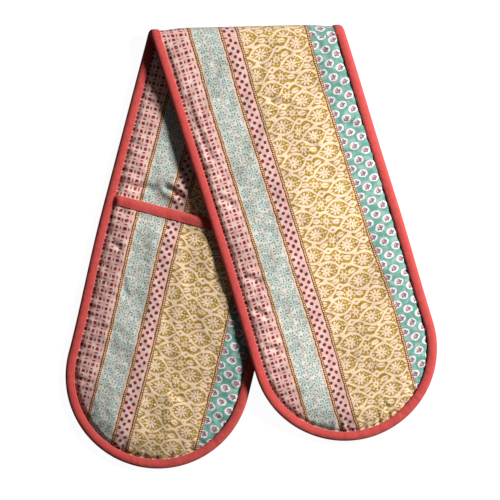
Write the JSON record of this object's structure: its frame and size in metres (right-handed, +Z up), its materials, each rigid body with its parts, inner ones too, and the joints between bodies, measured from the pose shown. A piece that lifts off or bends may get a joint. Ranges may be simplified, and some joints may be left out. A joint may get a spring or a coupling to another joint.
{
  "type": "double oven glove",
  "caption": "Padded cloth strip with a hand pocket at each rounded end and a bound edge, folded over once so that one leg lies fanned out on the other.",
  "frame": {"origin": "middle of the folded glove's outline, on the surface that it lies on", "axes": "+Y towards the fold, +X along the fold, +Z up"},
  "size_m": [0.3692, 0.4365, 0.0296],
  "materials": {
    "striped_print": "printed cotton in lengthwise stripes, matt",
    "wadding": "pale fibre wadding",
    "lining": "plain unbleached cotton",
    "binding": "coral red cotton bias tape, matt"
  },
  "bodies": {
    "lower_leg": {"outer_cover_lower": "striped_print", "wadding_lower": "wadding", "inner_cover_lower": "striped_print", "pocket_lining_lower": "lining", "pocket_wadding_lower": "wadding", "pocket_face_lower": "striped_print", "mouth_binding_lower": "binding", "edge_binding_lower": "binding", "outer_cover_fold": "striped_print", "wadding_fold": "wadding", "inner_cover_fold": "striped_print", "edge_binding_fold_left": "binding", "edge_binding_fold_right": "binding"},
    "upper_leg": {"outer_cover_upper": "striped_print", "wadding_upper": "wadding", "inner_cover_upper": "striped_print", "pocket_lining_upper": "lining", "pocket_wadding_upper": "wadding", "pocket_face_upper": "striped_print", "mouth_binding_upper": "binding", "edge_binding_upper": "binding"}
  },
  "joints": [
    {"name": "fold", "type": "hinge", "parent": "lower_leg", "child": "upper_leg", "pos_m": [0, 0.2065, 0.012], "axis": [-1, 0, 0], "range_deg": [0, 180], "deforming": ["outer_cover_fold", "wadding_fold", "inner_cover_fold", "edge_binding_fold_left", "edge_binding_fold_right"]}
  ]
}
